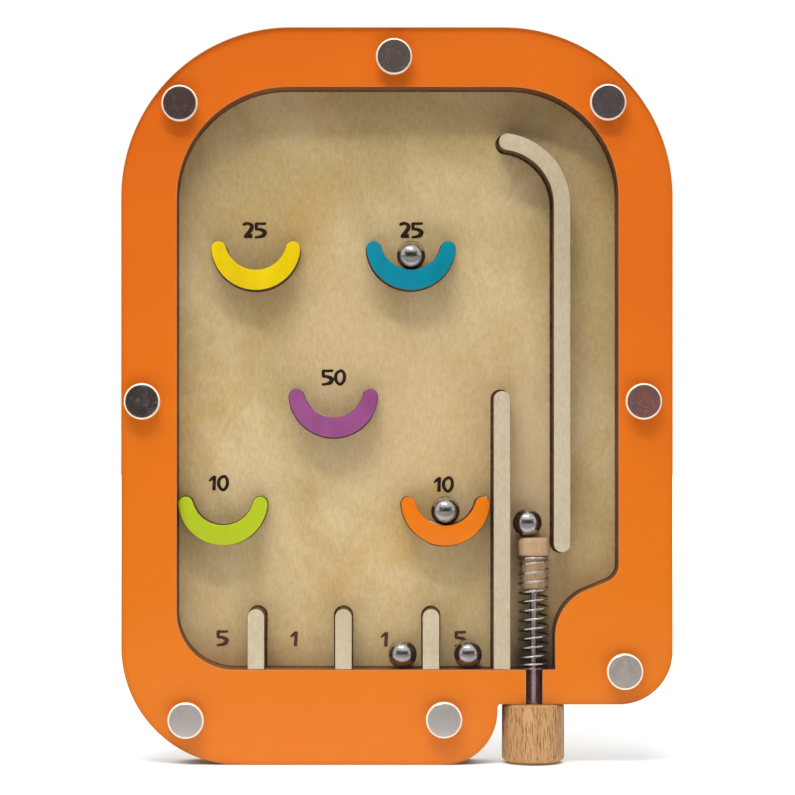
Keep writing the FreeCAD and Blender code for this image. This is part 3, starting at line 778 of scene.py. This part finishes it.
def wound_spring():
    """A wire circle carried along a helix. The height climbs by a pitch that eases from the
    closed turn at each end into the open turns, and the section keeps square to the wire."""
    turns = np.linspace(0, SPRING_TURNS, SPRING_TURNS * SPRING_STEPS + 1)
    nearest_end = np.minimum(turns, SPRING_TURNS - turns)
    open_share = np.clip((nearest_end - EASE_FROM) / EASE_TURNS, 0, 1)
    open_share = open_share ** 2 * (3 - 2 * open_share)
    rise = np.concatenate([[0], np.cumsum((open_share[1:] + open_share[:-1]) / 2)])
    closed = np.linspace(0, 1, len(turns)) * SPRING_TURNS * SPRING_END_PITCH
    climb = SPRING_LENGTH - SPRING_WIRE
    height = closed + rise / rise[-1] * (climb - closed[-1])
    angle = turns * 2 * np.pi
    out = np.stack([np.cos(angle), np.sin(angle), np.zeros_like(angle)], axis=1)
    line = out * SPRING_RADIUS
    line[:, 2] = height
    way = np.gradient(line, axis=0)
    way /= np.linalg.norm(way, axis=1)[:, None]
    up = np.cross(way, out)
    around = np.linspace(0, 2 * np.pi, WIRE_SIDES, endpoint=False)[None, :, None]
    wire = (np.cos(around) * out[:, None, :] - np.sin(around) * up[:, None, :])
    rings = line[:, None, :] + wire * SPRING_WIRE / 2
    return capped_rings(rings + [PLUNGER_X, 0, SPRING_BOTTOM + SPRING_WIRE / 2])


def shaded_back_turns(made):
    """Painted shade on the half of each turn that lies towards the board, darkest towards the board.
    """
    tree = made.node_tree
    # soot here is painted shade that deepens towards the board.
    soot = spread(tree, part(tree, place_in(tree), 1), BACK_SHADE_FROM, BACK_SHADE_TO, 0.0, 0.92)
    laid_over(made, soot, tone(66, 48, 40))
    return made


spring_finish = shaded_back_turns(drawn_steel("spring_steel", tone(238, 235, 230), tone(212, 208, 204),
                                       0.26, (500, 500, 500)))
spring = piece("wound_spring", wound_spring(), spring_finish, "case",
               ["plunger_spring"], crease=60.0)
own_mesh(spring)


# ---- Plunger tip and knob ----
# Two turnings of plain beech glued to the rod: a tip with a broad head that strikes the ball and
# a neck inside the spring, and a stout knob under the rail to pull on.
DOWN = -np.pi / 2
UP = np.pi / 2


def rounding(x, z, radius, start, end, steps):
    """Points of a profile's rounded edge: x + radius cos a and z + radius sin a."""
    return [(x + radius * np.cos(a), z + radius * np.sin(a)) for a in np.linspace(start, end, steps)]


TIP = [(0, 60.6), (3.9, 60.6), (4.3, 61.0), (4.3, 72.0), *rounding(4.85, 72.8, 0.8, DOWN, 0, 8),
       *rounding(3.65, 76.2, 2.0, 0, UP, 12), (0, 78.2)]
KNOB = [(0, 0.8), *rounding(9.3, 2.3, 1.5, DOWN, 0, 9), *rounding(9.5, 19.4, 1.3, 0, UP, 9),
        (0, 20.7)]


def turned_beech(name, pale, deep, pore, pore_share, roughness):
    """Beech turned along its grain: soft bands round the heart, rays and pores as short dark
    dashes along the axis, and faint tool rings across it."""
    made, tree, inputs = finish_named(name, roughness)
    place = place_in(tree)
    bands = noise(tree, place, (260, 260, 14), 0.05, detail=3.0)
    colour = between(tree, spread(tree, bands, 0.3, 0.7), pale, deep)
    dashes = noise(tree, place, (3300, 3300, 220))
    dashes = times(tree, spread(tree, dashes, 0.55, 0.60), pore_share)
    colour = between(tree, dashes, colour, pore)
    fine = noise(tree, place, (3000, 3000, 300))
    colour = between(tree, 0.25, colour, between(tree, fine, tone(95, 95, 95),
                     tone(215, 215, 215)), "OVERLAY")
    tree.links.new(colour, inputs["Base Color"])
    rings = noise(tree, place, (30, 30, 2600), detail=1.0)
    height = maths(tree, "SUBTRACT", times(tree, rings, 0.4), dashes)
    bumped(tree, inputs, height, 0.03 * MM, 0.5)
    return made


piece("turned_tip", turned(TIP, PLUNGER_X, 0, around=72),
      turned_beech("tip_wood", tone(205, 173, 136), tone(188, 153, 117), tone(136, 98, 68),
                   pore_share=0.4, roughness=0.6), "plunger", ["plunger_tip"])
piece("turned_knob", turned(KNOB, PLUNGER_X, 0, around=96),
      turned_beech("knob_wood", tone(203, 159, 108), tone(187, 143, 94), tone(98, 60, 32),
                   pore_share=0.75, roughness=0.5), "plunger", ["plunger_knob"])


# ---- Steel balls ----
# Five 10 mm bearing balls, polished but handled. They rest where play left them: two in cups,
# one on the plunger's tip and two in the lanes.
BALL_RADIUS = 5.0
BALLS = [(4.875, 175.85), (16.8, 87.55), (45.1, 83.25), (1.8, 37.85), (24.55, 37.85)]
BALL_PROFILE = rounding(0, 0, BALL_RADIUS, DOWN, UP, 41)
BALL_PROFILE[0] = (0, -BALL_RADIUS)
BALL_PROFILE[-1] = (0, BALL_RADIUS)

ball_finish = drawn_steel("ball_steel", tone(198, 196, 194), tone(178, 176, 174), 0.20,
                          (700, 700, 700))
for number, (x, z) in enumerate(BALLS, start=1):
    piece("steel_ball_%d" % number, turned(BALL_PROFILE, x * MM, z * MM, around=72),
          ball_finish, "ball_%d" % number, ["ball_%d" % number], crease=80.0)


# ---- Clear cover ----
# A 3 mm sheet of cast acrylic with the same outline as the rim, its front corner polished. It
# keeps the balls in, and the posts press it flat on the lacquer.
OUTLINE = [(-95.0, 0.0, 40.7), (34.7, 0.0, 18.5), (34.7, 20.8, 1.0), (95.0, 20.8, 18.5),
           (95.0, 254.0, 58.5), (-95.0, 254.0, 58.5)]
COVER_FRONT = -9.0 * MM
COVER_BACK = -6.02 * MM
COVER_EDGE = 0.35 * MM
COVER_SHADE = 1.0 * MM


def rays_of_sight(tree):
    """The kinds of ray, and 1 for those that reach the eye, straight or through the cover."""
    ray = node(tree, "ShaderNodeLightPath").outputs
    return ray, maths(tree, "MAXIMUM", ray["Is Camera Ray"], ray["Is Transmission Ray"])


def clear_acrylic():
    """Acrylic that refracts and mirrors for the eye, and lets light pass to what lies behind it.
    The hindmost strip of its edge turns part of that light aside. The rounded corner is as clear
    as air, with a trace of cream, and so are the side walls from inside."""
    made, tree, inputs = finish_named("clear_acrylic", 0.0)
    inputs["Base Color"].default_value = (1, 1, 1, 1)
    inputs["Transmission Weight"].default_value = 1.0
    inputs["IOR"].default_value = 1.49
    inputs["Specular Tint"].default_value = (0.3, 0.3, 0.3, 1)
    place = place_in(tree)
    way, facing = front_and_back(tree, 0.3, 0.7)
    front_part = maths(tree, "LESS_THAN", part(tree, place, 1), COVER_BACK - COVER_SHADE)
    haze = noise(tree, place, (40, 40, 40), detail=4.0)
    tree.links.new(spread(tree, haze, 0.45, 0.8, 0.0, 0.06), inputs["Roughness"])
    through = between(tree, maths(tree, "MAXIMUM", facing, front_part), tone(168, 140, 128),
                      (1, 1, 1, 1))
    passing = node(tree, "ShaderNodeBsdfTransparent", {0: through}).outputs[0]
    seen = rays_of_sight(tree)[1]
    inside = node(tree, "ShaderNodeNewGeometry").outputs["Backfacing"]
    corner = maths(tree, "GREATER_THAN", maths(tree, "ABSOLUTE", way), 0.25)
    rim_side = maths(tree, "LESS_THAN", maths(tree, "ABSOLUTE", way), 0.97)
    clear = times(tree, maths(tree, "MAXIMUM", inside, corner), rim_side)
    leaving = node(tree, "ShaderNodeBsdfTransparent", {0: tone(255, 247, 232)}).outputs[0]
    solid = tree.nodes["Principled BSDF"].outputs[0]
    glass = node(tree, "ShaderNodeMixShader", {0: clear, 1: solid, 2: leaving}).outputs[0]
    mixed = node(tree, "ShaderNodeMixShader", {0: seen, 1: passing, 2: glass}).outputs[0]
    tree.links.new(mixed, tree.nodes["Material Output"].inputs["Surface"])
    return made


sheet = broken_corner_block(rounded_outline(OUTLINE), COVER_FRONT, COVER_BACK, COVER_EDGE)
piece("acrylic_cover", sheet, clear_acrylic(), "case", ["clear_cover"])


# ---- Binding posts ----
# Eight turned steel posts hold the layers together. Each flat head lies on the cover, its barrel
# goes through all layers, and a slotted screw closes it at the back of the board.
POSTS = [(-74.67, 227.64), (-1.0, 243.7), (72.54, 227.95), (-87.6, 125.2), (84.8, 125.2),
         (-72.58, 15.54), (16.2, 15.7), (78.36, 32.35)]
HEAD_SIZE = 12.5 * MM
HIGHLIGHT_RING_FROM = 5.62 * MM / HEAD_SIZE
HIGHLIGHT_RING_TO = 5.78 * MM / HEAD_SIZE
POST_HEAD = [(0, -9.5), (2.5, -9.5), (2.5, 9.0), (6.15, 9.0), (6.25, 9.1), (6.25, 9.6),
             (6.1, 9.9), (5.65, 10.2), (0, 10.2)]


def faced_steel(name, bright, dull):
    """Steel faced on a lathe: rings of fine tool marks about each head's centre, read from the
    head's own map, with dull broken arcs, grit caught in them, and cloudy wear. The chamfer carries
    a painted highlight: a pale matt cream band that stands for the chamfer catching light all round."""
    made, tree, inputs = finish_named(name, 0.3, 1.0, 0.5)
    place = place_in(tree)
    flat = node(tree, "ShaderNodeUVMap", uv_map="head_map").outputs[0]
    radius = node(tree, "ShaderNodeVectorMath", {0: flat}, operation="LENGTH").outputs["Value"]
    marks = noise(tree, radius, (34, 3, 0), detail=4.0, roughness=0.7)
    clouds = noise(tree, place, (190, 190, 150), detail=5.0, roughness=0.65)
    wear = spread(tree, clouds, 0.42, 0.70)
    colour = between(tree, wear, bright, dull)
    broken = spread(tree, noise(tree, place, (420, 420, 420), detail=3.0), 0.45, 0.62)
    arcs = times(tree, spread(tree, marks, 0.61, 0.67), broken)
    grit = noise(tree, place, (1900, 1900, 1900), detail=1.0)
    dust = maths(tree, "MAXIMUM", times(tree, arcs, 0.22),
                 times(tree, spread(tree, grit, 0.70, 0.75), 0.30))
    # The chamfer band is a painted highlight: matt cream steel that stands for the chamfer catching
    # light all round.
    ring_highlight = spread(tree, radius, HIGHLIGHT_RING_FROM, HIGHLIGHT_RING_TO)
    # pale joins the real dust with the painted highlight on the chamfer.
    pale = maths(tree, "MAXIMUM", dust, times(tree, ring_highlight, 0.85))
    tree.links.new(maths(tree, "SUBTRACT", 1.0, pale), inputs["Metallic"])
    rough = maths(tree, "ADD", spread(tree, marks, 0.2, 0.8, 0.12, 0.26), times(tree, wear, 0.08))
    rough = maths(tree, "ADD", rough, times(tree, ring_highlight, 0.3))
    tree.links.new(rough, inputs["Roughness"])
    tree.links.new(between(tree, ring_highlight, colour, tone(255, 240, 218)), inputs["Base Color"])
    bumped(tree, inputs, marks, 0.006 * MM, 0.6)
    return made


def add_head_map(made, places, size):
    """A map of each post's own face: sideways and upward distance from the nearest post's
    centre, as a share of the head's size."""
    mesh = made.data
    points = np.empty(len(mesh.vertices) * 3)
    mesh.vertices.foreach_get("co", points)
    flat = points.reshape(-1, 3)[:, [0, 2]]
    centres = np.array(places) * MM
    nearest = np.linalg.norm(flat[:, None, :] - centres[None], axis=2).argmin(axis=1)
    offset = (flat - centres[nearest]) / size
    corner = np.empty(len(mesh.loops), int)
    mesh.loops.foreach_get("vertex_index", corner)
    mesh.uv_layers.new(name="head_map").data.foreach_set("uv", offset[corner].ravel())


post_steel = faced_steel("post_steel", tone(240, 236, 231), tone(228, 223, 217))
heads = joined([turned(POST_HEAD, x * MM, z * MM, around=72, forward=True) for x, z in POSTS])
caps = piece("binding_posts", heads, post_steel, "case", ["post_caps"])
add_head_map(caps, POSTS, HEAD_SIZE)
screw_steel = drawn_steel("screw_steel", tone(196, 194, 190), tone(168, 166, 162), 0.3,
                          (1400, 60, 200))
dress("post_screws", screw_steel)


# ---- Studio ----
# The game stands on a plain pale floor before a white ground, under a narrow soft lamp close
# above it, a broad one far above the viewer's left, and a soft fill from above.
MIDDLE = (0, 0, 0.127)
FILL_HIGH = (0.70, 0.68, 0.66, 1)
FILL_LOW = (0.13, 0.125, 0.12, 1)
FLOOR_PALE = (0.70, 0.715, 0.74, 1)
FLOOR_UNLIT = (0.04, 0.04, 0.04, 1)
MIRRORED_NEAR = (0.31, 0.31, 0.31, 1)
MIRRORED_FAR = (0.39, 0.39, 0.39, 1)
ROOM_DARK = (0.04, 0.03, 0.03, 1)
FLOOR_GLOW = 0.43
BOUNCE = 0.70
CONTACT_REACH = 10 * MM
PATCH_SIDE = (0.80, 0.72)
PATCH_TOP = (0.50, 0.42)
PATCH_FRONT = (-0.2, -0.4)
SPOT_EDGE = (0.9960, 0.9992)
ROOM_SPOTS = [((-0.085, -0.987, 0.140), tone(64, 10, 4)),
              ((0.003, -0.987, 0.159), tone(120, 104, 98)),
              ((0.091, -0.986, 0.140), tone(44, 68, 82)),
              ((-0.101, -0.995, 0.018), tone(4, 4, 8)),
              ((0.107, -0.994, 0.018), tone(176, 97, 87))]


def studio_floor():
    """A wide pale floor just under the foot, lifted to white for the eye except close to what
    stands on it. For polished metal and the cover it fades into the dim room in front, and only
    the part round the game throws light back up. It goes down with the plunger, because the game
    is held up while the knob under its foot is pulled."""
    made, tree, inputs = finish_named("pale_floor", 0.9)
    inputs["Emission Color"].default_value = (1, 1, 1, 1)
    place = place_in(tree)
    front = part(tree, place, 1)
    near = spread(tree, front, -0.85, -0.50)
    distance = node(tree, "ShaderNodeVectorMath", {0: place}, operation="LENGTH").outputs["Value"]
    table = spread(tree, distance, 0.75, 0.25)
    ray, seen = rays_of_sight(tree)
    mirrored = times(tree, ray["Is Glossy Ray"], maths(tree, "SUBTRACT", 1.0, near))
    lit = times(tree, ray["Is Diffuse Ray"], maths(tree, "SUBTRACT", 1.0, table))
    base = between(tree, times(tree, lit, 0.8), FLOOR_PALE, FLOOR_UNLIT)
    dimmed = times(tree, ray["Is Glossy Ray"], spread(tree, front, -0.05, -0.12))
    grey = between(tree, spread(tree, front, -0.18, -0.32), MIRRORED_NEAR, MIRRORED_FAR)
    base = between(tree, dimmed, base, grey)
    tree.links.new(between(tree, mirrored, base, ROOM_DARK), inputs["Base Color"])
    far = maths(tree, "ADD", FLOOR_GLOW, spread(tree, front, 0.15, 2.0))
    open_sky = node(tree, "ShaderNodeAmbientOcclusion", {"Distance": CONTACT_REACH}, samples=8)
    glow = times(tree, times(tree, seen, far), spread(tree, open_sky.outputs["AO"], 0.18, 0.54))
    bounce = times(tree, times(tree, ray["Is Diffuse Ray"], table), BOUNCE)
    tree.links.new(maths(tree, "ADD", glow, bounce), inputs["Emission Strength"])
    mesh = bpy.data.meshes.new("studio_floor")
    corners = [(-6, -4, 0), (6, -4, 0), (6, 8, 0), (-6, 8, 0)]
    mesh.from_pydata(corners, [], [(0, 1, 2, 3)])
    mesh.materials.append(made)
    ground = in_scene("studio_floor", mesh)
    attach(ground, "plunger")
    ground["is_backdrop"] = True


def studio_air():
    """White for the eye, a fill for the object that grows from the horizon up, and for polished
    metal a bright room with one dim wide patch in front, mottled brown, in which each of five
    heads finds a spot of its own tone."""
    air = bpy.data.worlds.new("studio_air")
    bpy.context.scene.world = air
    air.use_nodes = True
    tree = air.node_tree
    ray, seen = rays_of_sight(tree)
    way = node(tree, "ShaderNodeTexCoord").outputs["Generated"]
    across, along, height = node(tree, "ShaderNodeSeparateXYZ", {0: way}).outputs
    patch = times(tree, spread(tree, maths(tree, "ABSOLUTE", across), *PATCH_SIDE),
                  spread(tree, height, *PATCH_TOP))
    patch = times(tree, patch, spread(tree, along, *PATCH_FRONT))
    dim = between(tree, spread(tree, noise(tree, way, (13, 13, 13), detail=3.0), 0.35, 0.65),
                  tone(48, 40, 38), tone(66, 59, 57))
    dim = between(tree, spread(tree, along, -0.93, -0.86), dim, tone(92, 86, 82))
    for aim, colour in ROOM_SPOTS:
        near = node(tree, "ShaderNodeVectorMath", {0: way, 1: aim}, operation="DOT_PRODUCT")
        share = spread(tree, near.outputs["Value"], *SPOT_EDGE)
        dim = between(tree, share, dim, colour)
    mirrored = between(tree, patch, tone(238, 238, 236), dim)
    fill = between(tree, spread(tree, height, 0.08, 0.60), FILL_LOW, FILL_HIGH)
    colour = between(tree, ray["Is Glossy Ray"], fill, mirrored)
    colour = between(tree, seen, colour, (1, 1, 1, 1))
    tree.links.new(colour, tree.nodes["Background"].inputs["Color"])


def lamp(name, place, width, height, power, mirrored=True):
    """A soft lamp with a rectangular face that looks at the middle of the game. It may be kept
    out of what polished pieces mirror."""
    light = bpy.data.lights.new(name, "AREA")
    light.energy = power
    light.shape = "RECTANGLE"
    light.size = width
    light.size_y = height
    made = in_scene(name, light)
    made.location = place
    away = made.location - Vector(MIDDLE)
    made.rotation_euler = away.to_track_quat("Z", "Y").to_euler()
    made.visible_camera = False
    made.visible_glossy = mirrored


studio_floor()
studio_air()
lamp("key_lamp", (-0.145, -0.49, 0.914), width=0.58, height=0.065, power=3.0)
lamp("overhead_lamp", (-0.213, -0.852, 2.682), width=1.7, height=1.7, power=44.0, mirrored=False)


# ---- Camera ----
# A long lens looks straight at the game's front from a little under its middle, about 0.8 m
# away, and is shifted a little to take in the whole game.
lens = bpy.data.cameras.new("camera")
lens.lens = 109.09
lens.sensor_width = 36.0
lens.shift_x = 0.01447
lens.shift_y = 0.05975
camera = in_scene("camera", lens)
camera.location = (-3.76 * MM, -837.0 * MM, 110.2 * MM)
camera.rotation_euler = (np.pi / 2, 0, 0)
bpy.context.scene.camera = camera
bpy.context.scene.view_settings.view_transform = "Standard"

low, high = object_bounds()
